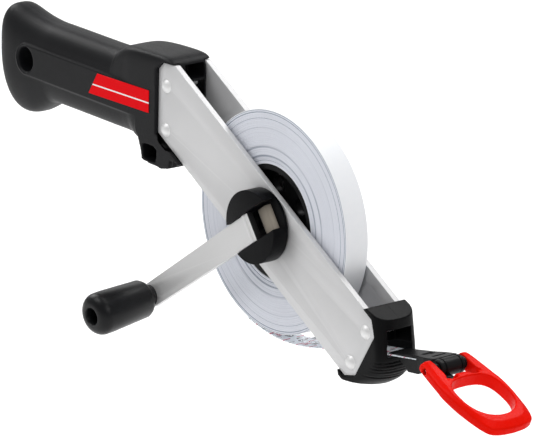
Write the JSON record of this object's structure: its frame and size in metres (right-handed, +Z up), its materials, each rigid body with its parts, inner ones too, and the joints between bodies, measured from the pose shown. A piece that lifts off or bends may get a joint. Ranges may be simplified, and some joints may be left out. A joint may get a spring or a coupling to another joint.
{
  "type": "surveyor tape reel",
  "caption": "Hand-held open-frame measuring tape reel: two side plates carry a cranked reel between a plastic handle and a tape mouth, with a finger ring on the tape's end.",
  "frame": {"origin": "middle of the hand grip, on the handle's centre line and the reel's mid-plane", "axes": "+X along the handle towards the tape mouth, the way the tape pulls out; +Z up; the reel turns about Y and the crank is on the -Y side"},
  "size_m": [0.3927, 0.0757, 0.1326],
  "materials": {
    "plate_aluminium": "satin anodised, brushed lengthwise",
    "rivet_aluminium": "bright, domed",
    "arm_aluminium": "satin, brushed lengthwise",
    "handle_plastic": "fine matt grain",
    "nose_plastic": "fine matt grain",
    "hub_plastic": "moulded, matt",
    "boss_plastic": "moulded, satin",
    "knob_plastic": "moulded, satin",
    "clip_plastic": "moulded, satin",
    "bush_nylon": "natural nylon",
    "label_red": "printed film",
    "ring_red": "glossy moulded plastic",
    "tape_enamel": "white enamel on steel",
    "pin_steel": "plain turned steel",
    "spring_steel": "tempered strip"
  },
  "bodies": {
    "frame": {"near_side_plate": "plate_aluminium", "far_side_plate": "plate_aluminium", "frame_rivets": "rivet_aluminium", "handle_near_half": "handle_plastic", "handle_far_half": "handle_plastic", "label_plate": "label_red", "nose_near_half": "nose_plastic", "nose_far_half": "nose_plastic", "near_bush": "bush_nylon", "far_bush": "bush_nylon", "tape_run": "tape_enamel"},
    "reel": {"reel_hub": "hub_plastic", "tape_pack": "tape_enamel", "crank_boss": "boss_plastic", "reel_end_cap": "boss_plastic", "reel_screw": "pin_steel", "crank_pivot_pin": "pin_steel", "detent_spring": "spring_steel"},
    "crank": {"crank_arm": "arm_aluminium", "knob_spindle": "pin_steel"},
    "knob": {"crank_knob": "knob_plastic"},
    "tape_end": {"tape_lead": "tape_enamel", "tape_clip": "clip_plastic", "clip_rivet": "pin_steel", "ring_barrel": "clip_plastic", "zero_hook": "clip_plastic", "ring_pin": "pin_steel"},
    "ring": {"pull_ring": "ring_red"}
  },
  "joints": [
    {"name": "reel_spin", "type": "hinge", "parent": "frame", "child": "reel", "pos_m": [0.15, 0, -0.0376], "axis": [0, 1, 0], "continuous": true},
    {"name": "crank_fold", "type": "hinge", "parent": "reel", "child": "crank", "pos_m": [0.14756, -0.0184, -0.03935], "axis": [-0.5821, 0, 0.8131], "range_deg": [0, 180]},
    {"name": "knob_spin", "type": "hinge", "parent": "crank", "child": "knob", "pos_m": [0.07276, -0.0184, -0.0929], "axis": [-0.0558, 0.9954, 0.0779], "continuous": true},
    {"name": "tape_pull", "type": "slide", "parent": "frame", "child": "tape_end", "axis": [0.9866, 0, 0.1633], "range_m": [0, 0.06]},
    {"name": "ring_pivot", "type": "hinge", "parent": "tape_end", "child": "ring", "pos_m": [0.27224, 0, -0.07676], "axis": [0, -1, 0], "range_deg": [-20, 110]}
  ]
}
